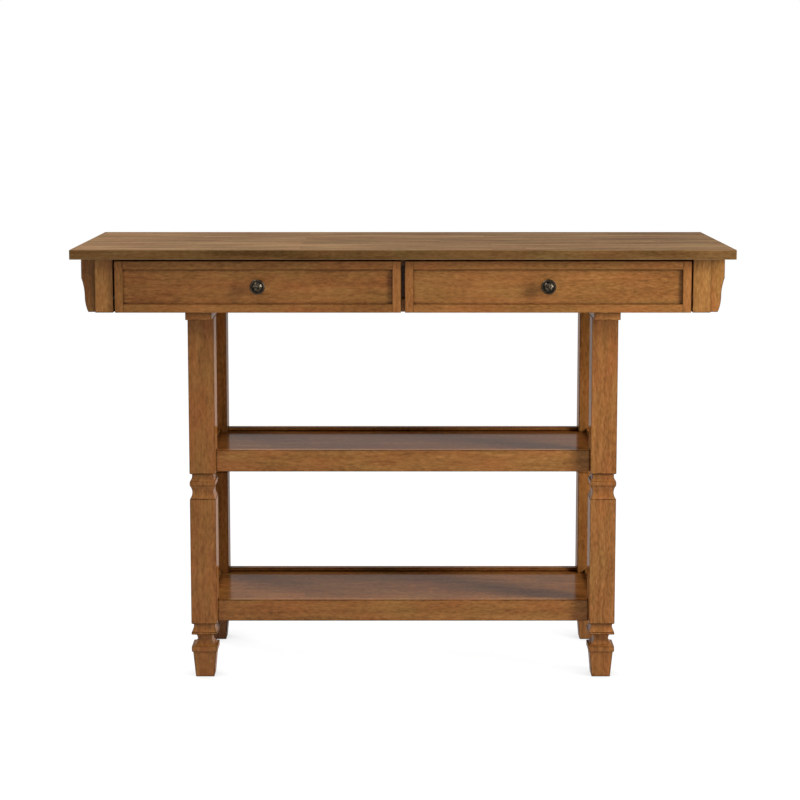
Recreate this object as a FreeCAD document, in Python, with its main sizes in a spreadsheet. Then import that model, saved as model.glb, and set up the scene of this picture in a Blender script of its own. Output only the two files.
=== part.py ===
import FreeCAD, Part
import math
import os
import re

import Sketcher

# Kitchen island of solid wood: a plain thick top, a shallow case with two drawers that overhangs the legs at
# both ends, four square milled legs, and two framed shelves between the legs.
# Millimetres. X runs along the top, Y from the front to the back and Z up, from the point on the floor under
# the middle of the top. Left and right are alike, so the right half is drawn and mirrored.

SIZES = {
    # Top
    "island_height": 914,
    "top_length": 1352,
    "top_depth": 470,
    "top_thickness": 20,
    # Case under the top
    "case_height": 111,
    "case_overhang": 25,
    "post_size": 37,
    "end_overhang": 17.5,
    "end_panel_thickness": 29.5,
    "end_panel_setback": 12,
    "ogee_band": 41,
    "ogee_cove_height": 38,
    "ogee_cove_inset": 6.5,
    "ogee_round_inset": 6.5,
    "case_board": 18,
    "back_panel_setback": 4,
    "bottom_rail_height": 26,
    "top_rail_height": 18,
    # Drawer fronts
    "front_proud": 5,
    "front_thickness": 20,
    "front_shut_gap": 1,
    "front_side_gap": 4,
    "front_middle_gap": 8.4,
    "front_top_gap": 5,
    "front_bottom_gap": 0.5,
    "front_frame_width": 17,
    "front_panel_recess": 5,
    "front_panel_lap": 5,
    "front_panel_play": 0.3,
    # Drawer boxes
    "box_side_gap": 3,
    "box_floor_gap": 3,
    "box_top_gap": 4,
    "box_rear_gap": 38,
    "box_board": 12,
    "box_bottom_thickness": 5,
    "box_bottom_lift": 5,
    "box_bottom_groove": 5,
    "box_bottom_play": 0.2,
    # Wooden runners and stops
    "runner_height": 12,
    "runner_groove_depth": 7,
    "runner_play": 0.3,
    "runner_end_play": 1,
    "runner_front_gap": 5,
    "drawer_travel": 250,
    "stop_spare": 0.5,
    "stop_length": 20,
    "stop_width": 24,
    "stop_runner_gap": 4,
    "stop_top_gap": 2,
    # Knobs
    "knob_lift": 1.5,
    "knob_diameter": 31,
    "knob_projection": 24,
    "knob_base_diameter": 14,
    "knob_base_height": 2,
    "knob_neck_diameter": 10,
    "knob_neck_start": 5.5,
    "knob_neck_end": 9,
    "knob_back_hollow": 1.6,
    "knob_rim_start": 15.5,
    "knob_ring_level": 20,
    "knob_rim_bevel": 1.5,
    "knob_ring_width": 2.4,
    "knob_groove_width": 1.4,
    "knob_groove_depth": 1.4,
    "knob_dome_rise": 4.6,
    "knob_screw_diameter": 4,
    "knob_screw_grip": 11,
    "knob_screw_head": 8,
    "knob_screw_head_height": 2.6,
    "knob_screw_end_gap": 0.5,
    # Bearers and legs
    "bearer_thickness": 16,
    "bearer_setback": 5.5,
    "leg_width": 54,
    "leg_end_inset": 230,
    "leg_face_inset": 71.25,
    "leg_shoulder_gap": 1,
    "leg_shoulder_bevel": 1.5,
    "leg_neck_inset": 4.5,
    "leg_neck_height": 8.5,
    "leg_bead_curve_height": 6,
    "leg_bead_curve_hollow": 1.2,
    "leg_bead_height": 9.5,
    "leg_bead_round": 0.4,
    "leg_cove_height": 28.5,
    "leg_cove_depth": 4.7,
    "leg_flare_height": 17,
    "leg_flare_hollow": 1.8,
    "leg_collar_height": 5,
    "foot_neck_height": 26,
    "foot_neck_inset": 8,
    "foot_neck_hollow": 6.5,
    "foot_block_ledge": 2.5,
    "foot_block_height": 11,
    "foot_top_inset": 2.5,
    "foot_bottom_inset": 7.5,
    # Shelves
    "middle_shelf_height": 476.5,
    "lower_shelf_height": 155,
    "shelf_lip": 8,
    "shelf_rail_height": 45.5,
    "shelf_rail_thickness": 18,
    "shelf_rail_setback": 20,
    "shelf_panel_thickness": 12,
    "shelf_panel_tongue": 5,
    "shelf_tongue_play": 0.3,
    "shelf_notch_gap": 0.5,
    # Fixings
    "fixing_play": 0.05,
    "dowel_diameter": 8,
    "dowel_length": 40,
    "dowel_end_gap": 0.5,
    "dowel_face_distance": 7.5,
    "dowel_edge_distance": 12,
    "dowel_panel_distance": 28,
    "screw_diameter": 4.5,
    "screw_length": 34,
    "screw_head_diameter": 9,
    "screw_head_height": 2.5,
    "top_screw_inner_spot": 130,
    "top_screw_outer_spot": 470,
    "bolt_diameter": 8,
    "bolt_grip": 45,
    "bolt_stand": 11,
    "nut_width": 14.5,
    "nut_height": 6,
    "nut_flange_diameter": 18,
    "nut_flange_height": 1.8,
}

doc = FreeCAD.newDocument("kitchen_island")
sheet = doc.addObject("Spreadsheet::Sheet", "Sizes")
for row, (alias, size) in enumerate(SIZES.items(), start=1):
    sheet.set(f"A{row}", alias)
    sheet.set(f"B{row}", str(size))
    sheet.setAlias(f"B{row}", alias)
doc.recompute()

# Levels up from the floor
TOP_UNDERSIDE = "(island_height - top_thickness)"
CASE_BOTTOM = f"({TOP_UNDERSIDE} - case_height)"
LEG_TOP = f"({CASE_BOTTOM} - bearer_thickness)"
BOTTOM_RAIL_TOP = f"({CASE_BOTTOM} + bottom_rail_height)"
TOP_RAIL_UNDERSIDE = f"({TOP_UNDERSIDE} - top_rail_height)"
FRONT_BOTTOM = f"({CASE_BOTTOM} + front_bottom_gap)"
FRONT_TOP = f"({TOP_UNDERSIDE} - front_top_gap)"
BOX_BOTTOM = f"({BOTTOM_RAIL_TOP} + box_floor_gap)"
BOX_TOP = f"({TOP_RAIL_UNDERSIDE} - box_top_gap)"
BOX_FLOOR_UNDERSIDE = f"({BOX_BOTTOM} + box_bottom_lift)"
BOX_FLOOR = f"({BOX_FLOOR_UNDERSIDE} + box_bottom_thickness)"
RUNNER_BOTTOM = f"(({BOX_BOTTOM} + {BOX_TOP} - runner_height) / 2)"
RUNNER_TOP = f"({RUNNER_BOTTOM} + runner_height)"
KNOB_LEVEL = f"(({FRONT_BOTTOM} + {FRONT_TOP}) / 2 + knob_lift)"

# Distances to the right of the middle
END_FACE = "(top_length / 2 - end_overhang)"
POST_OUTER = f"({END_FACE} - end_panel_thickness)"
POST_INNER = f"({POST_OUTER} - post_size)"
DIVIDER_SIDE = "(case_board / 2)"
FRONT_INNER = "(front_middle_gap / 2)"
FRONT_OUTER = f"({POST_INNER} - front_side_gap)"
BOX_INNER = f"({DIVIDER_SIDE} + box_side_gap)"
BOX_OUTER = f"({POST_INNER} - box_side_gap)"
KNOB_SPOT = f"(({FRONT_INNER} + {FRONT_OUTER}) / 2)"
LEG_OUTER = "(top_length / 2 - leg_end_inset)"
LEG_INNER = f"({LEG_OUTER} - leg_width)"
LEG_SPOT = f"({LEG_OUTER} - leg_width / 2)"
SIDE_RAIL_OUTER = f"({LEG_OUTER} - shelf_rail_setback)"
SIDE_RAIL_INNER = f"({SIDE_RAIL_OUTER} - shelf_rail_thickness)"

# Distances in front of or behind the middle
POST_FACE = "(top_depth / 2 - case_overhang)"
POST_BACK = f"({POST_FACE} - post_size)"
FRONT_FACE = f"({POST_FACE} + front_proud)"
FRONT_BACK = f"({FRONT_FACE} - front_thickness)"
PANEL_FACE = f"({FRONT_FACE} - front_panel_recess)"
CASE_RAIL_FACE = f"({FRONT_BACK} - front_shut_gap)"
CASE_RAIL_BACK = f"({CASE_RAIL_FACE} - case_board)"
BACK_OUTER = f"({POST_FACE} - back_panel_setback)"
BACK_INNER = f"({BACK_OUTER} - case_board)"
BEARER_END = f"({POST_FACE} - bearer_setback)"
LEG_DEEP_OUTER = "(top_depth / 2 - leg_face_inset)"
LEG_DEEP_INNER = f"({LEG_DEEP_OUTER} - leg_width)"
LEG_DEEP_SPOT = f"({LEG_DEEP_OUTER} - leg_width / 2)"
LONG_RAIL_OUTER = f"({LEG_DEEP_OUTER} - shelf_rail_setback)"
LONG_RAIL_INNER = f"({LONG_RAIL_OUTER} - shelf_rail_thickness)"

SHELVES = ("middle", "lower")
HALF_HOLE = "(dowel_length / 2 + dowel_end_gap)"

# Turns of a rod that is drawn upright
ALONG = {
    "x": FreeCAD.Rotation(FreeCAD.Vector(0, 1, 0), 90),
    "y": FreeCAD.Rotation(FreeCAD.Vector(1, 0, 0), -90),
    "z": FreeCAD.Rotation(),
}
LEFT_RIGHT = FreeCAD.Vector(1, 0, 0)
FRONT_REAR = FreeCAD.Vector(0, 1, 0)

island = []


def bound(formula):
    """The formula with each size's name pointed at its cell."""
    return re.sub(r"[a-z_]+", r"Sizes.\g<0>", formula)


def value(formula):
    """The formula's number at the sheet's present sizes."""
    return float(sheet.evalExpression(formula))


def move(thing, spot):
    """Binds where a thing's own origin is."""
    for axis, formula in zip("xyz", spot):
        thing.setExpression(f"Placement.Base.{axis}", bound(formula))


def block(name, across, deep, up):
    """A box between a low and a high formula along X, Y and Z."""
    box = doc.addObject("Part::Box", name)
    for size, (low, high) in zip(("Length", "Width", "Height"), (across, deep, up)):
        box.setExpression(size, bound(f"{high} - ({low})"))
    move(box, (across[0], deep[0], up[0]))
    return box


def rod(name, diameter, length, start, axis):
    """A cylinder from its start along an axis."""
    cylinder = doc.addObject("Part::Cylinder", name)
    cylinder.Placement = FreeCAD.Placement(FreeCAD.Vector(), ALONG[axis])
    cylinder.setExpression("Radius", bound(f"({diameter}) / 2"))
    cylinder.setExpression("Height", bound(length))
    move(cylinder, start)
    return cylinder


def joined(name, pieces):
    """Pieces fused into one solid."""
    fuse = doc.addObject("Part::MultiFuse", name)
    fuse.Shapes = pieces
    fuse.Refine = True
    return fuse


def group(name, pieces):
    """Separate solids kept together."""
    compound = doc.addObject("Part::Compound", name)
    compound.Links = pieces
    return compound


def cut(name, base, tools):
    """A base with each of the tools taken out of it."""
    for number, tool in enumerate(tools, start=1):
        last = number == len(tools)
        taken = doc.addObject("Part::Cut", name if last else f"{name}_cut_{number}")
        taken.Base = base
        taken.Tool = tool
        base = taken
    return base


def mirrored(name, thing, normal):
    """A thing's mirror image across the middle of the island."""
    mirror = doc.addObject("Part::Mirroring", name)
    mirror.Source = thing
    mirror.Normal = normal
    return mirror


def both_sides(name, pieces):
    """Pieces of the right half and their mirror images, as separate solids."""
    right = group(f"{name}_right_half", pieces)
    left = mirrored(f"{name}_left_half", right, LEFT_RIGHT)
    return group(name, [right, left])


def keep(thing, name):
    """Takes a thing as one of the island's pieces."""
    thing.Label = name
    island.append(thing)
    return thing


def keep_pair(thing, name):
    """Takes a right-hand piece and its left-hand image. The name has a gap for the side."""
    keep(thing, name.format("right"))
    keep(mirrored(name.format("left"), thing, LEFT_RIGHT), name.format("left"))


def bow(run, rise, depth):
    """The radius of an arc over a run and a rise that stands off its chord by a depth."""
    return f"((({run})^2 + ({rise})^2) / 4 + ({depth})^2) / (2 * ({depth}))"


def quarter(height, inset):
    """The radius of an arc that starts upright and moves in by an inset over a height."""
    return f"(({height})^2 + ({inset})^2) / (2 * ({inset}))"


def arc_between(start, end, radius, side):
    """The shorter arc between two points, with its centre left (1) or right (-1) of the way from start to end."""
    chord = end - start
    reach = math.sqrt(radius ** 2 - (chord.Length / 2) ** 2)
    left = FreeCAD.Vector(-chord.y, chord.x, 0) / chord.Length
    centre = (start + end) / 2 + left * (side * reach)
    circle = Part.Circle(centre, FreeCAD.Vector(0, 0, 1), radius)
    first, last = (start, end) if side > 0 else (end, start)
    begin = circle.parameter(first)
    finish = circle.parameter(last)
    if finish < begin:
        finish += 2 * math.pi
    return Part.ArcOfCircle(circle, begin, finish)


def draw_loop(sketch, corners, arcs):
    """Draws a closed loop through corners, each a pair of formulas. An arc, given by the number of the corner
    that it leaves, has a radius formula and the side of its centre."""
    points = [FreeCAD.Vector(value(across), value(up), 0) for across, up in corners]
    edges = []
    for number, start in enumerate(points):
        end = points[(number + 1) % len(points)]
        if number in arcs:
            radius, side = arcs[number]
            edge = sketch.addGeometry(arc_between(start, end, value(radius), side), False)
            ends = (1, 2) if side > 0 else (2, 1)
            rule = sketch.addConstraint(Sketcher.Constraint("Radius", edge, value(radius)))
            sketch.setExpression(f"Constraints[{rule}]", bound(radius))
        else:
            edge = sketch.addGeometry(Part.LineSegment(start, end), False)
            ends = (1, 2)
        edges.append((edge, ends))
    for number, (edge, ends) in enumerate(edges):
        before, before_ends = edges[number - 1]
        sketch.addConstraint(Sketcher.Constraint("Coincident", before, before_ends[1], edge, ends[0]))
        for direction, formula in zip(("DistanceX", "DistanceY"), corners[number]):
            rule = sketch.addConstraint(
                Sketcher.Constraint(direction, -1, 1, edge, ends[0], value(formula)))
            sketch.setExpression(f"Constraints[{rule}]", bound(formula))


def new_sketch(body, name, role):
    """A sketch on one of its body's own origin planes."""
    sketch = body.newObject("Sketcher::SketchObject", name)
    plane = next(feature for feature in body.Origin.OriginFeatures if feature.Role == role)
    sketch.AttachmentSupport = [(plane, "")]
    sketch.MapMode = "FlatFace"
    return sketch


def swept(body, kind, sketch, length):
    """A Pad or a Pocket, alike on both sides of its sketch."""
    feature = body.newObject(f"PartDesign::{kind}", f"{sketch.Name}_{kind.lower()}")
    feature.Profile = sketch
    feature.SideType = "Symmetric"
    feature.setExpression("Length", bound(length))
    return feature


def wood_screw(name, spot, play):
    """A countersunk screw that points up, or with some play its hole."""
    across, deep, up = spot
    head = doc.addObject("Part::Cone", f"{name}_head")
    head.setExpression("Radius1", bound(f"screw_head_diameter / 2 + {play}"))
    head.setExpression("Radius2", bound(f"screw_diameter / 2 + {play}"))
    head.setExpression("Height", bound("screw_head_height"))
    move(head, spot)
    start = (across, deep, f"{up} + screw_head_height")
    shank = rod(f"{name}_shank", f"screw_diameter + 2 * {play}", "screw_length - screw_head_height", start, "z")
    return joined(name, [head, shank])


def shelf_rail_bottom(shelf):
    """The level of the underside of a shelf's rails."""
    return f"({shelf}_shelf_height + shelf_lip - shelf_rail_height)"


# Fixings

def dowel_spots():
    """The middle and the axis of each dowel of the right half."""
    spots = []
    for shelf in SHELVES:
        bottom = shelf_rail_bottom(shelf)
        for up in (f"{bottom} + dowel_edge_distance", f"{bottom} + shelf_rail_height - dowel_edge_distance"):
            for sign in ("-", ""):
                long_rail_line = f"{sign}({LONG_RAIL_OUTER} - dowel_face_distance)"
                side_rail_line = f"{SIDE_RAIL_OUTER} - dowel_face_distance"
                spots.append(((LEG_INNER, long_rail_line, up), "x"))
                spots.append(((side_rail_line, f"{sign}{LEG_DEEP_INNER}", up), "y"))
    case_rail_line = f"-({CASE_RAIL_FACE} + {CASE_RAIL_BACK}) / 2"
    back_line = f"({BACK_OUTER} + {BACK_INNER}) / 2"
    spots.append(((POST_INNER, case_rail_line, f"({TOP_RAIL_UNDERSIDE} + {TOP_UNDERSIDE}) / 2"), "x"))
    spots.append(((POST_INNER, case_rail_line, f"({CASE_BOTTOM} + {BOTTOM_RAIL_TOP}) / 2"), "x"))
    spots.append(((POST_INNER, back_line, f"{CASE_BOTTOM} + dowel_panel_distance"), "x"))
    spots.append(((POST_INNER, back_line, f"{TOP_UNDERSIDE} - dowel_panel_distance"), "x"))
    return spots


def dowel_rods(name, diameter, half_length):
    """A rod on each dowel's line, for the dowels or for their holes."""
    rods = []
    for number, (spot, axis) in enumerate(dowel_spots(), start=1):
        start = list(spot)
        along = "xyz".index(axis)
        start[along] = f"{spot[along]} - {half_length}"
        rods.append(rod(f"{name}_{number}", diameter, f"2 * {half_length}", start, axis))
    return both_sides(name, rods)


def screw_spots():
    """The foot of each wood screw's head, on the right half."""
    spots = []
    front_line = f"-({CASE_RAIL_FACE} + {CASE_RAIL_BACK}) / 2"
    for across in ("top_screw_inner_spot", "top_screw_outer_spot"):
        for deep in (front_line, f"{BACK_INNER} - case_board / 2"):
            spots.append((across, deep, TOP_RAIL_UNDERSIDE))
    for deep in (front_line, f"({BACK_OUTER} + {BACK_INNER}) / 2"):
        spots.append((LEG_SPOT, deep, LEG_TOP))
    return spots


def screws(name, play):
    """All the wood screws, or with some play their holes."""
    spots = enumerate(screw_spots(), start=1)
    return both_sides(name, [wood_screw(f"{name}_{number}", spot, play) for number, spot in spots])


def bolts(name, diameter):
    """The hanger bolts on the legs' axes, or with a wider diameter their holes."""
    rods = []
    length = "bolt_grip + bearer_thickness + bolt_stand"
    for sign in ("-", ""):
        start = (LEG_SPOT, f"{sign}{LEG_DEEP_SPOT}", f"{LEG_TOP} - bolt_grip")
        rods.append(rod(f"{name}_{len(rods) + 1}", diameter, length, start, "z"))
    return both_sides(name, rods)


def nuts(bolt_holes):
    """A flanged nut on each hanger bolt, seated on the bearers."""
    blanks = []
    for sign in ("-", ""):
        number = len(blanks) + 1
        seat = (LEG_SPOT, f"{sign}{LEG_DEEP_SPOT}", CASE_BOTTOM)
        flange = rod(f"nut_flange_{number}", "nut_flange_diameter", "nut_flange_height", seat, "z")
        hexagon = doc.addObject("Part::Prism", f"nut_hexagon_{number}")
        hexagon.Polygon = 6
        hexagon.setExpression("Circumradius", bound("nut_width / 2"))
        hexagon.setExpression("Height", bound("nut_height"))
        move(hexagon, seat)
        blanks.append(joined(f"nut_blank_{number}", [flange, hexagon]))
    return cut("bolt_nuts", both_sides("nut_blanks", blanks), [bolt_holes])


PLAYED = "{} + 2 * fixing_play"
dowel_holes = dowel_rods("dowel_holes", PLAYED.format("dowel_diameter"), HALF_HOLE)
screw_holes = screws("screw_holes", "fixing_play")
bolt_holes = bolts("bolt_holes", PLAYED.format("bolt_diameter"))
keep(dowel_rods("dowels", "dowel_diameter", "(dowel_length / 2)"), "dowels")
keep(screws("wood_screws", "0"), "wood_screws")
keep(bolts("hanger_bolts", "bolt_diameter"), "hanger_bolts")
keep(nuts(bolt_holes), "bolt_nuts")


# Top and case

def span(reach):
    """From a reach left or in front of the middle to the same reach on the other side."""
    return f"-{reach}", reach


def make_top():
    """The flat board that everything else stands under."""
    blank = block("top_blank", span("(top_length / 2)"), span("(top_depth / 2)"), (TOP_UNDERSIDE, "island_height"))
    keep(cut("top_panel", blank, [screw_holes]), "top_panel")


def make_posts():
    """Corner posts, whose front faces are the stiles beside the drawers."""
    for place, deep in (("front", (f"-{POST_FACE}", f"-{POST_BACK}")), ("rear", (POST_BACK, POST_FACE))):
        blank = block(f"{place}_post_blank", (POST_INNER, POST_OUTER), deep, (CASE_BOTTOM, TOP_UNDERSIDE))
        name = f"{place}_{{}}_corner_post"
        keep_pair(cut(name.format("right"), blank, [dowel_holes]), name)


def make_end_panels():
    """End panels moulded to an ogee: an upright band, a cove under it and a round at the foot."""
    body = doc.addObject("PartDesign::Body", "right_end_panel")
    waist = f"{END_FACE} - ogee_cove_inset"
    round_height = "(case_height - ogee_band - ogee_cove_height)"
    corners = [
        (POST_OUTER, CASE_BOTTOM),
        (f"{waist} - ogee_round_inset", CASE_BOTTOM),
        (waist, f"{CASE_BOTTOM} + {round_height}"),
        (END_FACE, f"{TOP_UNDERSIDE} - ogee_band"),
        (END_FACE, TOP_UNDERSIDE),
        (POST_OUTER, TOP_UNDERSIDE),
    ]
    arcs = {
        1: (quarter(round_height, "ogee_round_inset"), 1),
        2: (quarter("ogee_cove_height", "ogee_cove_inset"), -1),
    }
    sketch = new_sketch(body, "end_panel_section", "XZ_Plane")
    draw_loop(sketch, corners, arcs)
    swept(body, "Pad", sketch, f"2 * ({POST_FACE} - end_panel_setback)")
    keep_pair(body, "{}_end_panel")


def make_case_boards():
    """Rails, back and divider between the posts."""
    between_posts = span(POST_INNER)
    rail_deep = (f"-{CASE_RAIL_FACE}", f"-{CASE_RAIL_BACK}")
    top_rail_up = (TOP_RAIL_UNDERSIDE, TOP_UNDERSIDE)
    front_top = block("front_top_rail_blank", between_posts, rail_deep, top_rail_up)
    keep(cut("front_top_rail", front_top, [dowel_holes, screw_holes]), "front_top_rail")
    front_bottom = block("front_bottom_rail_blank", between_posts, rail_deep, (CASE_BOTTOM, BOTTOM_RAIL_TOP))
    keep(cut("front_bottom_rail", front_bottom, [dowel_holes, screw_holes]), "front_bottom_rail")
    rear_deep = (f"{BACK_INNER} - case_board", BACK_INNER)
    rear_top = block("rear_top_rail_blank", between_posts, rear_deep, top_rail_up)
    keep(cut("rear_top_rail", rear_top, [screw_holes]), "rear_top_rail")
    back = block("back_panel_blank", between_posts, (BACK_INNER, BACK_OUTER), (CASE_BOTTOM, TOP_UNDERSIDE))
    keep(cut("back_panel", back, [dowel_holes, screw_holes]), "back_panel")
    divider_deep = (f"-{CASE_RAIL_BACK}", BACK_INNER)
    divider = block("centre_divider", span(DIVIDER_SIDE), divider_deep, (CASE_BOTTOM, TOP_RAIL_UNDERSIDE))
    keep(divider, "centre_divider")


def make_runners():
    """Wooden strips on the posts and on the divider that the drawer sides hang on."""
    reach = "(box_side_gap + runner_groove_depth - runner_end_play)"
    up = (RUNNER_BOTTOM, RUNNER_TOP)
    outer_deep = (f"-({FRONT_BACK} - runner_front_gap)", BACK_INNER)
    keep_pair(block("right_outer_runner", (f"{POST_INNER} - {reach}", POST_INNER), outer_deep, up),
              "{}_outer_runner")
    inner_deep = (f"-{CASE_RAIL_BACK}", BACK_INNER)
    keep_pair(block("right_inner_runner", (DIVIDER_SIDE, f"{DIVIDER_SIDE} + {reach}"), inner_deep, up),
              "{}_inner_runner")


# Legs and shelves

def leg_outline():
    """The loop round a leg's outline about its axis, from the foot up, and the arcs in it."""
    half = "leg_width / 2"
    shoulder = f"({shelf_rail_bottom('middle')} - leg_shoulder_gap)"
    neck_top = f"({shoulder} - leg_shoulder_bevel)"
    neck_foot = f"({neck_top} - leg_neck_height)"
    bead_top = f"({neck_foot} - leg_bead_curve_height)"
    bead_foot = f"({bead_top} - leg_bead_height)"
    cove_foot = f"({bead_foot} - leg_cove_height)"
    lower_shoulder = f"({shelf_rail_bottom('lower')} - leg_shoulder_gap)"
    flare_top = f"({lower_shoulder} - leg_shoulder_bevel)"
    collar_top = f"({flare_top} - leg_flare_height)"
    collar_foot = f"({collar_top} - leg_collar_height)"
    block_top = f"({collar_foot} - foot_neck_height)"
    block_foot = f"({block_top} - foot_block_height)"
    right = [
        (f"{half} - foot_bottom_inset", "0"),
        (f"{half} - foot_top_inset", block_foot),
        (half, block_foot),
        (half, block_top),
        (f"{half} - foot_block_ledge", block_top),
        (f"{half} - foot_neck_inset", collar_foot),
        (half, collar_foot),
        (half, collar_top),
        (f"{half} - leg_neck_inset", flare_top),
        (half, lower_shoulder),
        (half, cove_foot),
        (f"{half} - leg_bead_round", bead_foot),
        (f"{half} - leg_bead_round", bead_top),
        (f"{half} - leg_neck_inset", neck_foot),
        (f"{half} - leg_neck_inset", neck_top),
        (half, shoulder),
        (half, LEG_TOP),
    ]
    curve_inset = "leg_neck_inset - leg_bead_round"
    right_arcs = {
        4: (bow("foot_neck_inset - foot_block_ledge", "foot_neck_height", "foot_neck_hollow"), -1),
        7: (bow("leg_neck_inset", "leg_flare_height", "leg_flare_hollow"), -1),
        10: (bow("leg_bead_round", "leg_cove_height", "leg_cove_depth"), -1),
        11: (bow("0", "leg_bead_height", "leg_bead_round"), 1),
        12: (bow(curve_inset, "leg_bead_curve_height", "leg_bead_curve_hollow"), -1),
    }
    left = [(f"-({across})", up) for across, up in reversed(right)]
    left_arcs = {2 * len(right) - 2 - number: arc for number, arc in right_arcs.items()}
    return right + left, {**right_arcs, **left_arcs}


def make_legs():
    """Square legs whose outline is milled on the front and back and again on the two sides."""
    body = doc.addObject("PartDesign::Body", "leg_body")
    corners, arcs = leg_outline()
    front = new_sketch(body, "leg_front", "XZ_Plane")
    draw_loop(front, corners, arcs)
    swept(body, "Pad", front, "leg_width")
    side = new_sketch(body, "leg_side_waste", "YZ_Plane")
    draw_loop(side, corners, arcs)
    low, high = "-leg_width", f"{LEG_TOP} + leg_width"
    draw_loop(side, [(low, low), ("leg_width", low), ("leg_width", high), (low, high)], {})
    swept(body, "Pocket", side, "2 * leg_width")
    move(body, (LEG_SPOT, f"-{LEG_DEEP_SPOT}", "0"))
    front_leg = cut("front_right_leg", body, [dowel_holes, bolt_holes])
    keep_pair(front_leg, "front_{}_leg")
    keep_pair(mirrored("rear_right_leg", front_leg, FRONT_REAR), "rear_{}_leg")


def make_bearers():
    """Flat boards on the legs' tops that carry the case."""
    blank = block("bearer_blank", (LEG_INNER, LEG_OUTER), span(BEARER_END), (LEG_TOP, CASE_BOTTOM))
    keep_pair(cut("right_bearer", blank, [screw_holes, bolt_holes]), "{}_bearer")


def make_shelf(shelf):
    """A frame of four rails with a panel let into grooves below their top edges."""
    name = f"{shelf}_shelf"
    bottom = shelf_rail_bottom(shelf)
    rail_up = (bottom, f"{bottom} + shelf_rail_height")
    surface = f"{shelf}_shelf_height"
    panel_up = (f"{surface} - shelf_panel_thickness", surface)
    groove_up = (panel_up[0], f"{surface} + shelf_tongue_play")
    depth = "(shelf_panel_tongue + shelf_tongue_play)"
    across = span(LEG_INNER)
    front = block(f"{name}_front_blank", across, (f"-{LONG_RAIL_OUTER}", f"-{LONG_RAIL_INNER}"), rail_up)
    front_groove = block(f"{name}_front_groove", across,
                         (f"-({LONG_RAIL_INNER} + {depth})", f"-{LONG_RAIL_INNER}"), groove_up)
    front_rail = keep(cut(f"{name}_front_rail", front, [front_groove, dowel_holes]), f"{name}_front_rail")
    keep(mirrored(f"{name}_rear_rail", front_rail, FRONT_REAR), f"{name}_rear_rail")
    deep = span(LEG_DEEP_INNER)
    side = block(f"{name}_side_blank", (SIDE_RAIL_INNER, SIDE_RAIL_OUTER), deep, rail_up)
    side_groove = block(f"{name}_side_groove", (SIDE_RAIL_INNER, f"{SIDE_RAIL_INNER} + {depth}"), deep, groove_up)
    keep_pair(cut(f"{name}_right_rail", side, [side_groove, dowel_holes]), f"{name}_{{}}_rail")
    panel_across = f"({SIDE_RAIL_INNER} + shelf_panel_tongue)"
    panel_deep = f"({LONG_RAIL_INNER} + shelf_panel_tongue)"
    panel = block(f"{name}_panel_blank", span(panel_across), span(panel_deep), panel_up)
    notch_across = f"({LEG_INNER} - shelf_notch_gap)"
    notch_deep = f"({LEG_DEEP_INNER} - shelf_notch_gap)"
    notches = []
    for place, reach in (("front", (f"-{panel_deep}", f"-{notch_deep}")), ("rear", (notch_deep, panel_deep))):
        notches.append(block(f"{name}_{place}_notch", (notch_across, panel_across), reach, panel_up))
    keep(cut(f"{name}_panel", panel, [both_sides(f"{name}_notches", notches)]), f"{name}_panel")


# Drawers

def make_drawer_front():
    """A frame of two stiles and two rails with a panel let into a rebate from behind."""
    deep = (f"-{FRONT_FACE}", f"-{FRONT_BACK}")
    rebate_deep = (f"-{PANEL_FACE}", f"-{FRONT_BACK}")
    sight_inner = f"({FRONT_INNER} + front_frame_width)"
    sight_outer = f"({FRONT_OUTER} - front_frame_width)"
    sight_bottom = f"({FRONT_BOTTOM} + front_frame_width)"
    sight_top = f"({FRONT_TOP} - front_frame_width)"
    rebate_across = (f"{sight_inner} - front_panel_lap", f"{sight_outer} + front_panel_lap")
    rebate_up = (f"{sight_bottom} - front_panel_lap", f"{sight_top} + front_panel_lap")
    rebate = block("front_rebate", rebate_across, rebate_deep, rebate_up)
    full_up = (FRONT_BOTTOM, FRONT_TOP)
    inner = block("inner_stile_blank", (FRONT_INNER, sight_inner), deep, full_up)
    keep_pair(cut("right_drawer_inner_stile", inner, [rebate]), "{}_drawer_inner_stile")
    outer = block("outer_stile_blank", (sight_outer, FRONT_OUTER), deep, full_up)
    keep_pair(cut("right_drawer_outer_stile", outer, [rebate]), "{}_drawer_outer_stile")
    rail_across = (sight_inner, sight_outer)
    top_rail = block("drawer_top_rail_blank", rail_across, deep, (sight_top, FRONT_TOP))
    keep_pair(cut("right_drawer_top_rail", top_rail, [rebate]), "{}_drawer_top_rail")
    bottom_rail = block("drawer_bottom_rail_blank", rail_across, deep, (FRONT_BOTTOM, sight_bottom))
    keep_pair(cut("right_drawer_bottom_rail", bottom_rail, [rebate]), "{}_drawer_bottom_rail")
    panel_across = (f"{rebate_across[0]} + front_panel_play", f"{rebate_across[1]} - front_panel_play")
    panel_up = (f"{rebate_up[0]} + front_panel_play", f"{rebate_up[1]} - front_panel_play")
    panel = block("drawer_panel_blank", panel_across, rebate_deep, panel_up)
    keep_pair(cut("right_drawer_panel", panel, [knob_screw_hole]), "{}_drawer_panel")


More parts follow.
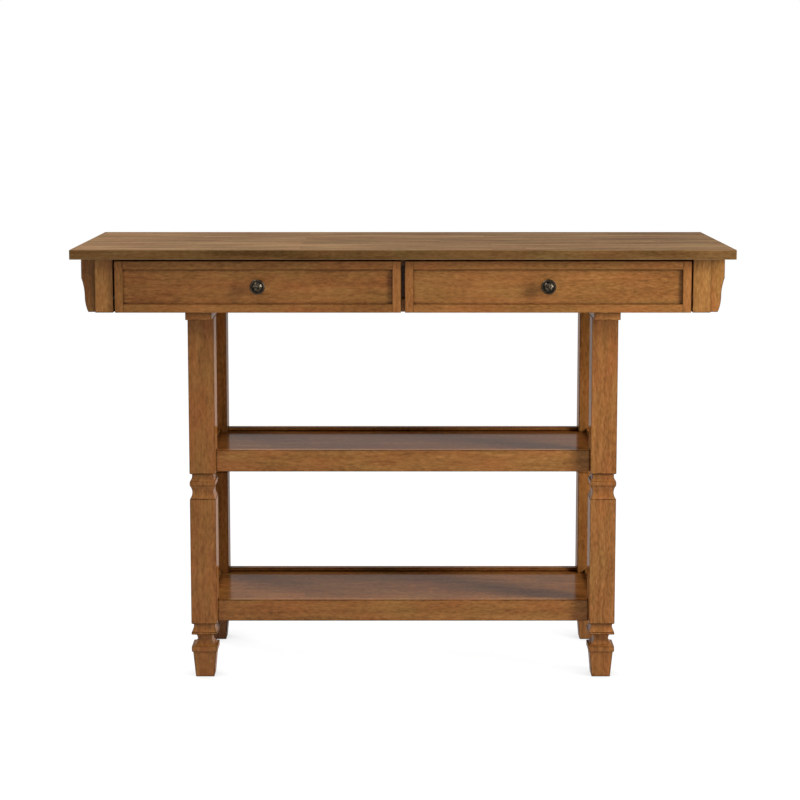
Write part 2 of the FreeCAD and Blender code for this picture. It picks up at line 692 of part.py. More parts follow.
def make_drawer_box():
    """Two grooved sides, a back, a bottom let into the sides, and a stop that meets the front post."""
    deep = (f"-{FRONT_BACK}", f"{BACK_INNER} - box_rear_gap")
    up = (BOX_BOTTOM, BOX_TOP)
    runner_up = (f"{RUNNER_BOTTOM} - runner_play", f"{RUNNER_TOP} + runner_play")
    inside = (f"({BOX_INNER} + box_board)", f"({BOX_OUTER} - box_board)")
    floor_across = (f"{inside[0]} - box_bottom_groove", f"{inside[1]} + box_bottom_groove")
    floor_groove_up = (BOX_FLOOR_UNDERSIDE, f"{BOX_FLOOR} + box_bottom_play")
    floor_groove = block("box_floor_groove", floor_across, deep, floor_groove_up)
    inner = block("inner_side_blank", (BOX_INNER, inside[0]), deep, up)
    inner_groove = block("inner_runner_groove", (BOX_INNER, f"{BOX_INNER} + runner_groove_depth"), deep, runner_up)
    keep_pair(cut("right_drawer_inner_side", inner, [inner_groove, floor_groove]), "{}_drawer_inner_side")
    outer = block("outer_side_blank", (inside[1], BOX_OUTER), deep, up)
    outer_groove = block("outer_runner_groove", (f"{BOX_OUTER} - runner_groove_depth", BOX_OUTER), deep, runner_up)
    keep_pair(cut("right_drawer_outer_side", outer, [outer_groove, floor_groove]), "{}_drawer_outer_side")
    bottom_across = (f"{floor_across[0]} + box_bottom_play", f"{floor_across[1]} - box_bottom_play")
    bottom = block("right_drawer_bottom", bottom_across, deep, (BOX_FLOOR_UNDERSIDE, BOX_FLOOR))
    keep_pair(bottom, "{}_drawer_bottom")
    back = block("right_drawer_back", inside, (f"{deep[1]} - box_board", deep[1]), (BOX_FLOOR, BOX_TOP))
    keep_pair(back, "{}_drawer_back")
    stop_front = f"-{POST_BACK} + drawer_travel + stop_spare"
    stop_up = (f"{RUNNER_TOP} + stop_runner_gap", f"{BOX_TOP} - stop_top_gap")
    stop = block("right_drawer_stop", (BOX_OUTER, f"{BOX_OUTER} + stop_width"),
                 (stop_front, f"{stop_front} + stop_length"), stop_up)
    keep_pair(stop, "{}_drawer_stop")


def knob_outline():
    """Half of a knob's section, out from its seat and up from its axis, and the arcs in it."""
    head = "knob_diameter / 2"
    neck = "knob_neck_diameter / 2"
    ring_inner = f"({head} - knob_rim_bevel - knob_ring_width)"
    dome = f"({ring_inner} - knob_groove_width)"
    groove_level = "knob_ring_level - knob_groove_depth"
    dome_level = "knob_projection - knob_dome_rise"
    corners = [
        ("0", "0"),
        ("knob_projection", "0"),
        (dome_level, dome),
        (groove_level, f"{ring_inner} - knob_groove_width / 2"),
        ("knob_ring_level", ring_inner),
        ("knob_ring_level", f"{head} - knob_rim_bevel"),
        ("knob_ring_level - knob_rim_bevel", head),
        ("knob_rim_start", head),
        ("knob_neck_end", neck),
        ("knob_neck_start", neck),
        ("knob_base_height", "knob_base_diameter / 2"),
        ("0", "knob_base_diameter / 2"),
    ]
    back_run = "knob_rim_start - knob_neck_end"
    arcs = {
        1: (quarter(dome, "knob_dome_rise"), 1),
        7: (bow(back_run, f"{head} - {neck}", "knob_back_hollow"), -1),
    }
    return corners, arcs


def make_knob():
    """A turned knob with a ring and a dome, seated on the drawer's panel."""
    body = doc.addObject("PartDesign::Body", "knob_body")
    sketch = new_sketch(body, "knob_section", "YZ_Plane")
    draw_loop(sketch, *knob_outline())
    turned = body.newObject("PartDesign::Revolution", "knob_turned")
    turned.Profile = sketch
    turned.ReferenceAxis = (sketch, ["H_Axis"])
    turned.Angle = 360
    body.Placement = FreeCAD.Placement(FreeCAD.Vector(), FreeCAD.Rotation(FreeCAD.Vector(0, 0, 1), 180))
    move(body, (KNOB_SPOT, f"-{PANEL_FACE}", KNOB_LEVEL))
    keep_pair(cut("right_drawer_knob", body, [knob_screw_hole]), "{}_drawer_knob")


def make_knob_screw():
    """A screw from inside the drawer, through the panel, that holds the knob."""
    head = rod("knob_screw_head_blank", "knob_screw_head", "knob_screw_head_height",
               (KNOB_SPOT, f"-{FRONT_BACK}", KNOB_LEVEL), "y")
    shank = rod("knob_screw_shank", "knob_screw_diameter", f"{PANEL_FACE} - {FRONT_BACK} + knob_screw_grip",
                (KNOB_SPOT, f"-({PANEL_FACE} + knob_screw_grip)", KNOB_LEVEL), "y")
    keep_pair(joined("right_drawer_knob_screw", [head, shank]), "{}_drawer_knob_screw")


make_top()
make_posts()
make_end_panels()
make_case_boards()
make_runners()
make_legs()
make_bearers()
for shelf in SHELVES:
    make_shelf(shelf)

KNOB_SCREW_TIP = f"({PANEL_FACE} + knob_screw_grip + knob_screw_end_gap)"
knob_screw_hole = rod("knob_screw_hole", PLAYED.format("knob_screw_diameter"), f"{KNOB_SCREW_TIP} - {FRONT_BACK}",
                      (KNOB_SPOT, f"-{KNOB_SCREW_TIP}", KNOB_LEVEL), "y")
make_drawer_front()
make_drawer_box()
make_knob()
make_knob_screw()

doc.recompute()
for thing in doc.Objects:
    if "Invalid" in thing.State or "Error" in thing.State:
        raise RuntimeError(f"{thing.Label} failed: {thing.State}")
for thing in island:
    if thing.Shape.isNull() or not thing.Shape.isValid():
        raise RuntimeError(f"{thing.Label} has no valid shape")

os.makedirs("parts", exist_ok=True)
for thing in island:
    thing.Shape.exportStep(f"parts/{thing.Label}.step")
    print(thing.Label, len(thing.Shape.Solids), round(thing.Shape.Volume))
print(len(island), "nodes")
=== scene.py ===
import math
import random

import bpy
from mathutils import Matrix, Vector


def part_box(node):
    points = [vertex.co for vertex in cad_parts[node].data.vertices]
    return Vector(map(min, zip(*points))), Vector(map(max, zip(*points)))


# Wooden kitchen island with two drawers and two shelves: finishes, light and camera, in metres.

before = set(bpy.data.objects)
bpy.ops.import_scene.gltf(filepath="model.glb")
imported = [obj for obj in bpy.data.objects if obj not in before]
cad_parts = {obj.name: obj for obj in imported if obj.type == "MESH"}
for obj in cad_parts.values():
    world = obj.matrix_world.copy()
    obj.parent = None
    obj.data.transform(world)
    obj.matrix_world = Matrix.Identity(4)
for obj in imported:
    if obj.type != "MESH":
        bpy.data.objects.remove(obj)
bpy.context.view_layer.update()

WHITE = (1.0, 1.0, 1.0, 1.0)
GREY = (0.5, 0.5, 0.5, 1.0)
BLACK = (0.0, 0.0, 0.0, 1.0)

# Stains, from the darkest streak to the lightest, as linear colours
HONEY = ((0.125, 0.046, 0.0105), (0.213, 0.084, 0.0205), (0.287, 0.120, 0.0325), (0.375, 0.168, 0.0500))
UMBER = ((0.108, 0.055, 0.0200), (0.172, 0.091, 0.0350), (0.226, 0.125, 0.0515), (0.292, 0.171, 0.0755))
PALE = ((0.330, 0.200, 0.0930), (0.430, 0.275, 0.1350), (0.500, 0.335, 0.1750), (0.570, 0.400, 0.2250))

# Dark glaze, which in inner corners also stands for painted shade, wood worn bare, and the tone of the top's
# sides
GLAZE_AND_SHADE = (0.020, 0.0085, 0.0040, 1.0)
WORN = (0.330, 0.225, 0.1250, 1.0)
TOP_SIDE = (0.61, 0.57, 0.47, 1.0)

# How far edges are eased: on the frame, on the drawers, and on metal and dowels
EDGE_ROUND = 0.0013
DRAWER_EDGE_ROUND = 0.0005
SMALL_PART_ROUND = 0.0002
EDGE_SEGMENTS = 2
WELD_REACH = 0.00001

# Degrees from which an edge is eased, and from which an edge that isn't eased is shaded sharp
EDGE_ANGLE = 20.0
CRISP_ANGLE = 50.0

# In wood an edge is eased only if it is longer than this: in full where the faces beside it are this wide,
# less on narrower ones, and not at all under the least room
EASED_LENGTH = 0.004
EASED_ROOM = 0.0028
LEAST_ROOM = 0.0009

# Most lacquer that an eased edge has, and the share of its lacquer that the top has on its sides
EDGE_COAT = 0.06
SIDE_LACQUER = 0.25

# Upward part of a face's direction, from upright faces to level ones
FLAT_SPAN = (0.4, 0.8)

# How far the glaze reaches along edges and in corners, where it is partly painted shade, the values of those
# masks where it begins and is full, their samples, and a span of noise carried to how much glaze is left
# after rubbing
EDGE_GLAZE_REACH = 0.0030
EDGE_GLAZE_SPAN = (0.99, 0.84)
CORNER_GLAZE_AND_SHADE_REACH = 0.007
CORNER_GLAZE_AND_SHADE_SPAN = (0.84, 0.30)
MASK_SAMPLES = 6
RUB_SPAN = (0.3, 0.6, 0.5, 1.0)

# Staves that the top and the shelf panels are glued from: their size, where the pattern begins, how the rows
# are staggered, how far apart in the grain the staves are cut, and the glue lines between them
STAVE_LENGTH = 0.62
STAVE_WIDTH = 0.060
STAVE_START = (0.21, 0.031, 0.0)
STAVE_STAGGER = {"offset": 0.37, "offset_frequency": 2, "squash": 0.74, "squash_frequency": 3}
STAVE_STEP = 7.3
GLUE_LINE = 0.0005
GLUE_LINE_SOFT = 0.3
GLUE_LINE_SHARE = 0.4

# Growth rings: how many to a metre, how their bend varies and how large it is, along and across the grain
RINGS = 110.0
RING_BEND = (2.2, 9.0, 9.0)
RING_BEND_SIZE = (0.0, 0.09, 0.09)
RING_STRETCH = (0.03, 1.0, 1.0)

# Figure of the wood: waves to a metre along and across the grain, detail, roughness
PATCHES = (11.0, 62.0, 3.0, 0.55)
FLECKS = (80.0, 270.0, 2.0, 0.6)
FIBRES = (120.0, 1150.0, 2.0, 0.6)
WARMTH = (9.0, 34.0)
PORES = (60.0, 900.0, 1.0)
RUB = (24.0, 60.0)

# How much each part of the figure counts in the tone, which is a half in the middle of the stain
MIDDLE = 0.5
RING_SHARE = 0.4
PATCH_SHARE = 0.65
FLECK_SHARE = 1.15
FIBRE_SHARE = 0.6

# Redder and more golden patches: where their noise is taken, its span and the two tints
WARMTH_SPOT = (3.1, 0.7, 0.4)
WARMTH_SPAN = (0.3, 0.7)
REDDER = (1.05, 0.92, 0.92)
MORE_GOLDEN = (0.97, 1.06, 1.02)

# Pores: the span of noise that they begin and are full at, and how dark they are
PORE_SPAN = (0.64, 0.74)
PORE_SHARE = 0.3

# Surfaces: strength and depth of the bump, and a span of noise carried to a span of roughness
FIBRE_RELIEF = 0.4
WOOD_BUMP = (0.12, 0.0003)
WOOD_ROUGHNESS = (0.25, 0.75, 0.44, 0.56)
BRONZE_BUMP = (0.25, 0.0003)
BRONZE_ROUGHNESS = (0.3, 0.7, 0.24, 0.42)
ZINC_BUMP = (0.15, 0.0001)
ZINC_ROUGHNESS = (0.3, 0.7, 0.28, 0.46)

# Bronze of the knobs: the radii where the rubbed dome begins and is full, the tones of the metal, how far
# rubbing and dirt reach, and the waves to a metre, detail and roughness of the mottle
KNOB_DOME_RADIUS = 0.0104
KNOB_DOME_SPAN = (KNOB_DOME_RADIUS, 0.85 * KNOB_DOME_RADIUS)
BRONZE = ((0.005, 0.0040, 0.0030), (0.034, 0.025, 0.017), (0.108, 0.082, 0.056))
BRONZE_DOME = ((0.005, 0.004, 0.0028), (0.038, 0.030, 0.021), (0.150, 0.122, 0.087))
BRONZE_RUBBED = (0.26, 0.20, 0.14, 1.0)
BRONZE_DIRT = (0.004, 0.003, 0.0025, 1.0)
BRONZE_DOME_SPAN = (0.34, 0.66)
BRONZE_EDGE_REACH = 0.0016
BRONZE_EDGE_SPAN = (0.99, 0.86)
BRONZE_EDGE_SHARE = 0.3
BRONZE_DIRT_REACH = 0.005
BRONZE_DIRT_SPAN = (0.85, 0.40)
BRONZE_MOTTLE = (240.0, 240.0, 4.0, 0.6)

# Zinc plating: its tones, its clouds (waves to a metre, detail) and its turning marks (waves along each axis)
ZINC = ((0.36, 0.36, 0.37), (0.55, 0.55, 0.56), (0.66, 0.65, 0.62))
ZINC_CLOUD = (180.0, 180.0, 3.0)
ZINC_MARKS = (90.0, 90.0, 2600.0)


class Graph:
    """A node tree with short ways to add nodes and to link or set their inputs."""

    def __init__(self, tree):
        self.tree = tree
        tree.nodes.clear()

    def add(self, kind, inputs=None, **settings):
        plain = kind.startswith(("GeometryNode", "NodeGroup"))
        node = self.tree.nodes.new(kind if plain else f"ShaderNode{kind}")
        for name, setting in settings.items():
            setattr(node, name, setting)
        for name, given in (inputs or {}).items():
            if isinstance(given, bpy.types.NodeSocket):
                self.tree.links.new(given, node.inputs[name])
            else:
                node.inputs[name].default_value = given
        return node

    def math(self, operation, first, second=0.0):
        return self.add("Math", {0: first, 1: second}, operation=operation).outputs[0]

    def vector(self, operation, first, second):
        return self.add("VectorMath", {0: first, 1: second}, operation=operation).outputs[0]

    def measure(self, operation, *vectors):
        """A number worked out from one or two vectors."""
        return self.add("VectorMath", dict(enumerate(vectors)), operation=operation).outputs["Value"]

    def noise(self, place, detail=2.0, roughness=0.5):
        """Noise of about one wave to a unit of the place, which is a vector."""
        node = self.add("TexNoise", {"Vector": place, "Scale": 1.0, "Detail": detail, "Roughness": roughness})
        return node.outputs[0]

    def figure(self, place, along, across, detail=2.0, roughness=0.5):
        """Noise of so many waves to a metre along and across the grain."""
        return self.noise(self.vector("MULTIPLY", place, (along, across, across)), detail, roughness)

    def streaks(self, distance, detail=2.0):
        """Noise of about one wave to a unit of a distance."""
        node = self.add("TexNoise", {"W": distance, "Scale": 1.0, "Detail": detail}, noise_dimensions="1D")
        return node.outputs[0]

    def span(self, value, low, high, to_low=0.0, to_high=1.0):
        """The value carried from one span to another, and held at its ends."""
        given = {"Value": value, "From Min": low, "From Max": high, "To Min": to_low, "To Max": to_high}
        return self.add("MapRange", given).outputs[0]

    def mix(self, share, first, second, blend="MIX"):
        given = {0: share, 6: first, 7: second}
        return self.add("Mix", given, data_type="RGBA", blend_type=blend).outputs[2]

    def ramp(self, value, colours):
        """Colours spread evenly over a value from 0 to 1."""
        node = self.add("ValToRGB", {0: value})
        stops = node.color_ramp.elements
        while len(stops) < len(colours):
            stops.new(1.0)
        for number, colour in enumerate(colours):
            stops[number].position = number / (len(colours) - 1)
            stops[number].color = (*colour, 1.0)
        return node.outputs[0]

    def bump(self, height, strength, distance):
        given = {"Strength": strength, "Distance": distance, "Height": height}
        return self.add("Bump", given).outputs[0]

    def own(self, name):
        """A vector that each object keeps as a property."""
        return self.add("Attribute", attribute_type="OBJECT", attribute_name=name).outputs["Vector"]

    def true_normal(self):
        return self.add("NewGeometry").outputs["True Normal"]

    def place(self):
        return self.add("TexCoord").outputs["Object"]

    def split(self, vector):
        return self.add("SeparateXYZ", {0: vector}).outputs

    def surface(self, shader):
        self.tree.links.new(shader.outputs[0], self.add("OutputMaterial").inputs["Surface"])


def new_material(name):
    """An empty material and its graph."""
    material = bpy.data.materials.new(name)
    material.use_nodes = True
    return material, Graph(material.node_tree)


def flat_mask(graph):
    """1 on level faces, 0 on upright ones."""
    upward = graph.split(graph.true_normal())[2]
    return graph.span(graph.math("ABSOLUTE", upward), *FLAT_SPAN)


def edge_mask(graph, reach, low, high):
    """1 along a piece's sharp edges, 0 further than the reach from them."""
    rounded = graph.add("Bevel", {"Radius": reach}, samples=MASK_SAMPLES).outputs[0]
    return graph.span(graph.measure("DOT_PRODUCT", rounded, graph.true_normal()), low, high)


def corner_mask(graph, reach, low, high):
    """1 in inner corners and narrow gaps, 0 on open faces."""
    near = graph.add("AmbientOcclusion", {"Distance": reach}, samples=MASK_SAMPLES).outputs["AO"]
    return graph.span(near, low, high)


def grain_place(graph, along, staves, flat):
    """Where a point lies in its board: first along the grain, then across it. Each piece has a place of its
    own, and so has each stave on a glued panel's flat faces. Also gives each stave's own number and the glue
    lines, or nothing for a single board."""
    place = graph.place()
    moved = graph.vector("ADD", place, graph.own("grain_seed"))
    stave, line = None, None
    if staves:
        brick = graph.add("TexBrick", {
            "Vector": graph.vector("ADD", place, STAVE_START),
            "Color1": BLACK, "Color2": WHITE, "Mortar": GREY,
            "Scale": 1.0, "Mortar Size": GLUE_LINE, "Mortar Smooth": GLUE_LINE_SOFT,
            "Brick Width": STAVE_LENGTH, "Row Height": STAVE_WIDTH,
        }, **STAVE_STAGGER)
        stave, line = graph.add("SeparateColor", {0: brick.outputs[0]}).outputs[0], brick.outputs[1]
        shown = graph.math("MULTIPLY", stave, flat)
        ahead = graph.math("MULTIPLY", shown, STAVE_STEP)
        moved = graph.vector("ADD", moved, graph.add("CombineXYZ", {0: ahead, 1: shown, 2: shown}).outputs[0])
    split = graph.split(moved)
    first = "XYZ".index(along)
    parts = {number: split[(first + number) % 3] for number in range(3)}
    return graph.add("CombineXYZ", parts).outputs[0], stave, line


def growth_rings(graph, place):
    """Rings about a pith beside the board, bent by a slow noise so that they run out in flames."""
    slow = graph.vector("MULTIPLY", place, RING_BEND)
    bend = graph.add("TexNoise", {"Vector": slow, "Scale": 1.0, "Detail": 2.0}).outputs["Color"]
    bend = graph.vector("MULTIPLY", graph.vector("SUBTRACT", bend, (MIDDLE, MIDDLE, MIDDLE)), RING_BEND_SIZE)
    across = graph.vector("MULTIPLY", graph.vector("ADD", place, bend), RING_STRETCH)
    return graph.streaks(graph.math("MULTIPLY", graph.measure("LENGTH", across), RINGS))


def wood(name, along, stain, staves=0.0, bands=(3.0, 9.0, 0.65), coat=0.24, coat_roughness=0.13,
         edge=(GLAZE_AND_SHADE, 0.9), corner=0.72, side_tone=None, eased=False):
    """Stained and lacquered wood with its grain along an axis. The staves are how much glued staves differ
    in tone, 0 for a single board. The bands are how many to a metre along and across the grain, and their
    strength. The edge is a colour and how much of it lies beside sharp edges, or all over where the wood
    is an eased edge itself, and the corner is how much glaze lies in inner corners, which also paints
    the shade that falls there. The side tone is a colour that darkens the faces that stand upright."""
    material, graph = new_material(name)
    flat = flat_mask(graph)
    place, stave, line = grain_place(graph, along, staves, flat)

    # Figure of the stain, from broad bands and patches down to single fibres
    *band_waves, band_share = bands
    rings = growth_rings(graph, place)
    clouds = graph.figure(place, *band_waves)
    patches = graph.figure(place, *PATCHES)
    flecks = graph.figure(place, *FLECKS)
    fibres = graph.figure(place, *FIBRES)
    # The piece's own tone, which on some pieces also paints the shade that falls on them
    tone_and_shade = graph.split(graph.own("piece_tone_and_shade"))
    tone = graph.math("ADD", tone_and_shade[0], MIDDLE)
    for part, share in ((rings, RING_SHARE), (clouds, band_share), (patches, PATCH_SHARE),
                        (flecks, FLECK_SHARE), (fibres, FIBRE_SHARE)):
        centred = graph.math("SUBTRACT", part, MIDDLE)
        tone = graph.math("ADD", tone, graph.math("MULTIPLY", centred, share))
    if staves:
        difference = graph.math("MULTIPLY", graph.span(stave, 0.0, 1.0, -staves, staves), flat)
        tone = graph.math("ADD", tone, difference)
    colour = graph.ramp(tone, stain)

    # Redder and more golden patches
    warmth = graph.figure(graph.vector("ADD", place, WARMTH_SPOT), *WARMTH)
    warmth = graph.span(graph.math("ADD", warmth, tone_and_shade[1]), *WARMTH_SPAN)
    colour = graph.mix(1.0, colour, graph.ramp(warmth, (REDDER, MORE_GOLDEN)), "MULTIPLY")

    # Open pores, short dark dashes along the grain
    pores = graph.span(graph.figure(place, *PORES), *PORE_SPAN)
    colour = graph.mix(graph.math("MULTIPLY", pores, PORE_SHARE), colour, (*stain[0], 1.0))
    if staves:
        glue = graph.math("MULTIPLY", graph.math("MULTIPLY", line, flat), GLUE_LINE_SHARE)
        colour = graph.mix(glue, colour, GLAZE_AND_SHADE)
    if side_tone:
        colour = graph.mix(flat, graph.mix(1.0, colour, side_tone, "MULTIPLY"), colour)

    # Glaze in the corners, which also paints the shade of corners and gaps, and along the edges, rubbed
    # unevenly
    rubbed = graph.span(graph.figure(place, *RUB), *RUB_SPAN)
    glaze_and_shade_in_corner = corner_mask(graph, CORNER_GLAZE_AND_SHADE_REACH, *CORNER_GLAZE_AND_SHADE_SPAN)
    glaze_and_shade_in_corner = graph.math("MULTIPLY", glaze_and_shade_in_corner, corner)
    colour = graph.mix(graph.math("MULTIPLY", glaze_and_shade_in_corner, rubbed), colour, GLAZE_AND_SHADE)
    edge_colour, on_edge = edge
    if not eased:
        on_edge = graph.math("MULTIPLY", edge_mask(graph, EDGE_GLAZE_REACH, *EDGE_GLAZE_SPAN), on_edge)
    colour = graph.mix(graph.math("MULTIPLY", on_edge, rubbed), colour, edge_colour)

    relief = graph.math("SUBTRACT", graph.math("MULTIPLY", fibres, FIBRE_RELIEF), pores)
    shader = graph.add("BsdfPrincipled", {
        "Base Color": colour, "Normal": graph.bump(relief, *WOOD_BUMP),
        "Roughness": graph.span(patches, *WOOD_ROUGHNESS),
        "Specular IOR Level": 0.0, "Coat Roughness": coat_roughness})

    # The lacquer is dull where the corner glaze lies, which paints shade over reflections in corners and
    # gaps, and on the sides of a piece with a side tone
    if coat > 0.0:
        lacquer = graph.math("MULTIPLY", graph.math("SUBTRACT", 1.0, glaze_and_shade_in_corner), coat)
        if side_tone:
            lacquer = graph.math("MULTIPLY", lacquer, graph.span(flat, 0.0, 1.0, SIDE_LACQUER, 1.0))
        graph.tree.links.new(lacquer, shader.inputs["Coat Weight"])
    graph.surface(shader)
    return material


def antique_bronze():
    """Nearly black metal, rubbed to bronze on the knobs' domes and along raised edges."""
    material, graph = new_material("antique_bronze")
    place = graph.place()
    low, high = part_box("right_drawer_knob")
    middle = (0.5 * (low[0] + high[0]), 0.0, 0.5 * (low[2] + high[2]))
    mirrored = graph.add("VectorMath", {0: place}, operation="ABSOLUTE").outputs[0]
    from_axis = graph.measure("DISTANCE", graph.vector("MULTIPLY", mirrored, (1.0, 0.0, 1.0)), middle)
    on_dome = graph.span(from_axis, *KNOB_DOME_SPAN)
    mottle = graph.figure(place, *BRONZE_MOTTLE)
    dome = graph.ramp(graph.span(mottle, *BRONZE_DOME_SPAN), BRONZE_DOME)
    colour = graph.mix(on_dome, graph.ramp(mottle, BRONZE), dome)
    rubbed = edge_mask(graph, BRONZE_EDGE_REACH, *BRONZE_EDGE_SPAN)
    rubbed = graph.math("MULTIPLY", rubbed, BRONZE_EDGE_SHARE)
    colour = graph.mix(rubbed, colour, BRONZE_RUBBED)
    colour = graph.mix(corner_mask(graph, BRONZE_DIRT_REACH, *BRONZE_DIRT_SPAN), colour, BRONZE_DIRT)
    graph.surface(graph.add("BsdfPrincipled", {
        "Base Color": colour, "Normal": graph.bump(mottle, *BRONZE_BUMP),
        "Roughness": graph.span(mottle, *BRONZE_ROUGHNESS), "Metallic": 1.0}))
    return material


def zinc_steel():
    """Zinc-plated steel of screws, bolts and nuts, with faint turning marks."""
    material, graph = new_material("zinc_steel")
    place = graph.place()
    cloud = graph.figure(place, *ZINC_CLOUD)
    marks = graph.noise(graph.vector("MULTIPLY", place, ZINC_MARKS))
    graph.surface(graph.add("BsdfPrincipled", {
        "Base Color": graph.ramp(cloud, ZINC), "Normal": graph.bump(marks, *ZINC_BUMP),
        "Roughness": graph.span(marks, *ZINC_ROUGHNESS), "Metallic": 1.0}))
    return material


# Finishes of the pieces

GRAIN_ALONG_DEPTH = ("_bearer", "_runner", "_side", "left_rail", "right_rail", "_stop", "divider")
GRAIN_UPRIGHT = ("_leg", "_post", "_stile", "_end_panel")
BOX_PIECES = ("_side", "_bottom", "_back", "_stop", "_runner")

# Seed and spans of the place that each piece's grain is taken from, along the grain and across it
GRAIN_SEED = 7
GRAIN_SPANS = ((1.0, 9.0), (0.09, 0.3), (0.09, 0.3))

# How much lighter or darker, and more golden or redder, some pieces are than the others: partly the wood's
# own tone and partly painted shade, as the shelf panels, rear legs, rear rails and centre divider are darker
# for the shade that falls on them
TONE_AND_PAINTED_SHADE = {
    "front_left_corner_post": (0.22, 0.08), "front_right_corner_post": (0.15, 0.15),
    "left_end_panel": (0.0, 0.05), "right_end_panel": (0.10, 0.12),
    "front_left_leg": (-0.07, -0.03), "front_right_leg": (-0.08, -0.04),
    "rear_left_leg": (-0.16, -0.05), "rear_right_leg": (-0.05, 0.0),
    "middle_shelf_rear_rail": (-0.16, 0.0), "lower_shelf_rear_rail": (-0.16, 0.0),
    "middle_shelf_front_rail": (0.04, 0.02), "lower_shelf_front_rail": (-0.15, 0.0),
    "middle_shelf_panel": (-0.46, -0.06), "lower_shelf_panel": (-0.29, -0.03),
    "centre_divider": (-0.5, 0.0), "left_drawer_panel": (-0.03, 0.0), "right_drawer_panel": (0.0, 0.05),
    "left_drawer_outer_stile": (-0.08, 0.0),
}


def finish_pair(name, *setting, edge, **options):
    """A wood for a piece's faces and the same wood for its eased edges."""
    faces = wood(name, *setting, edge=edge, **options)
    options["coat"] = min(options.get("coat", EDGE_COAT), EDGE_COAT)
    return faces, wood(f"{name}_edge", *setting, edge=edge, eased=True, **options)


def make_finishes():
    """The materials of each finish: one, or one for the faces and one for the eased edges."""
    finishes = {}
    for axis in "XYZ":
        finishes["frame", axis] = finish_pair(f"honey_wood_{axis.lower()}", axis, HONEY, edge=(GLAZE_AND_SHADE, 0.8))
    for axis in "XZ":
        # The drawer fronts take full corner glaze, which also paints the shade around their panels
        finishes["front", axis] = finish_pair(f"honey_front_{axis.lower()}", axis, HONEY, edge=(GLAZE_AND_SHADE, 0.4),
                                              corner=1.0)
    for axis in "XY":
        finishes["box", axis] = finish_pair(f"pale_wood_{axis.lower()}", axis, PALE, coat=0.05,
                                            edge=(GLAZE_AND_SHADE, 0.1))
    finishes["top"] = finish_pair("umber_staves", "X", UMBER, staves=0.16, bands=(4.0, 32.0, 2.0), coat=0.215,
                                  coat_roughness=0.45, edge=(WORN, 0.35), side_tone=TOP_SIDE)
    finishes["shelf"] = finish_pair("honey_staves", "X", HONEY, staves=0.06, coat=0.25, edge=(GLAZE_AND_SHADE, 0.2))
    finishes["dowel"] = (wood("beech_dowel", "X", PALE, coat=0.0, edge=(GLAZE_AND_SHADE, 0.1)),)
    finishes["bronze"] = (antique_bronze(),)
    finishes["steel"] = (zinc_steel(),)
    return finishes


def finish_of(name):
    """Which finish a node has."""
    if name == "top_panel":
        return "top"
    if name.endswith("_knob"):
        return "bronze"
    if name.endswith("_screw") or name in ("wood_screws", "hanger_bolts", "bolt_nuts"):
        return "steel"
    if name == "dowels":
        return "dowel"
    if name.endswith("shelf_panel"):
        return "shelf"
    axis = "X"
    if any(word in name for word in GRAIN_ALONG_DEPTH):
        axis = "Y"
    if any(word in name for word in GRAIN_UPRIGHT):
        axis = "Z"
    if name.endswith(BOX_PIECES):
        return "box", axis
    return "front" if "_drawer_" in name else "frame", axis


class ShapeGraph(Graph):
    """A group of geometry nodes."""

    def __init__(self, name):
        super().__init__(bpy.data.node_groups.new(name, "GeometryNodeTree"))
        for way in ("INPUT", "OUTPUT"):
            self.tree.interface.new_socket("Geometry", in_out=way, socket_type="NodeSocketGeometry")
        self.start = self.add("NodeGroupInput").outputs[0]

    def angle_over(self, degrees, sides="Unsigned Angle"):
        """1 on edges that bend by more than an angle, and with Signed Angle on outer corners only."""
        angle = self.add("GeometryNodeInputMeshEdgeAngle").outputs[sides]
        return self.math("GREATER_THAN", angle, math.radians(degrees))

    def end(self, shape):
        """Gives the shape out, and closes the group."""
        self.add("NodeGroupOutput", {0: shape})
        return self.tree


def marked_edges_group():
    """Geometry nodes that mark the outer corners to ease: sharp, longer than the facets of a bore's rim, and
    less where the faces at their sides have less room."""
    graph = ShapeGraph("marked_edges")
    ends = graph.add("GeometryNodeInputMeshEdgeVertices").outputs
    length = graph.measure("DISTANCE", ends["Position 1"], ends["Position 2"])
    area = graph.add("GeometryNodeInputMeshFaceArea").outputs[0]
    rooms = []
    for side in (0, 1):
        corner = graph.add("GeometryNodeCornersOfEdge", {"Sort Index": side}).outputs["Corner Index"]
        face = graph.add("GeometryNodeFaceOfCorner", {"Corner Index": corner}).outputs["Face Index"]
        beside = graph.add("GeometryNodeFieldAtIndex", {"Value": area, "Index": face}, domain="FACE")
        rooms.append(graph.math("DIVIDE", graph.math("MULTIPLY", beside.outputs[0], 2.0), length))
    room = graph.math("MINIMUM", *rooms)
    marked = graph.math("MINIMUM", graph.math("DIVIDE", room, EASED_ROOM), 1.0)
    for condition in (graph.angle_over(EDGE_ANGLE, "Signed Angle"),
                      graph.math("GREATER_THAN", length, EASED_LENGTH),
                      graph.math("GREATER_THAN", room, LEAST_ROOM)):
        marked = graph.math("MULTIPLY", marked, condition)
    stored = graph.add("GeometryNodeStoreNamedAttribute", {
        "Geometry": graph.start, "Name": "bevel_weight_edge", "Value": marked,
    }, domain="EDGE")
    return graph.end(stored.outputs[0])


def plain_normals_group():
    """Geometry nodes that drop the stored normals and shade a mesh smooth, apart from its crisp edges."""
    graph = ShapeGraph("plain_normals")
    plain = graph.add("GeometryNodeRemoveAttribute", {"Geometry": graph.start, "Name": "custom_normal"})
    smooth = graph.add("GeometryNodeSetShadeSmooth", {"Geometry": plain.outputs[0], "Shade Smooth": True})
    crisp = graph.add("GeometryNodeSetShadeSmooth", {
        "Geometry": smooth.outputs[0], "Selection": graph.angle_over(CRISP_ANGLE), "Shade Smooth": False,
    }, domain="EDGE")
    return graph.end(crisp.outputs[0])


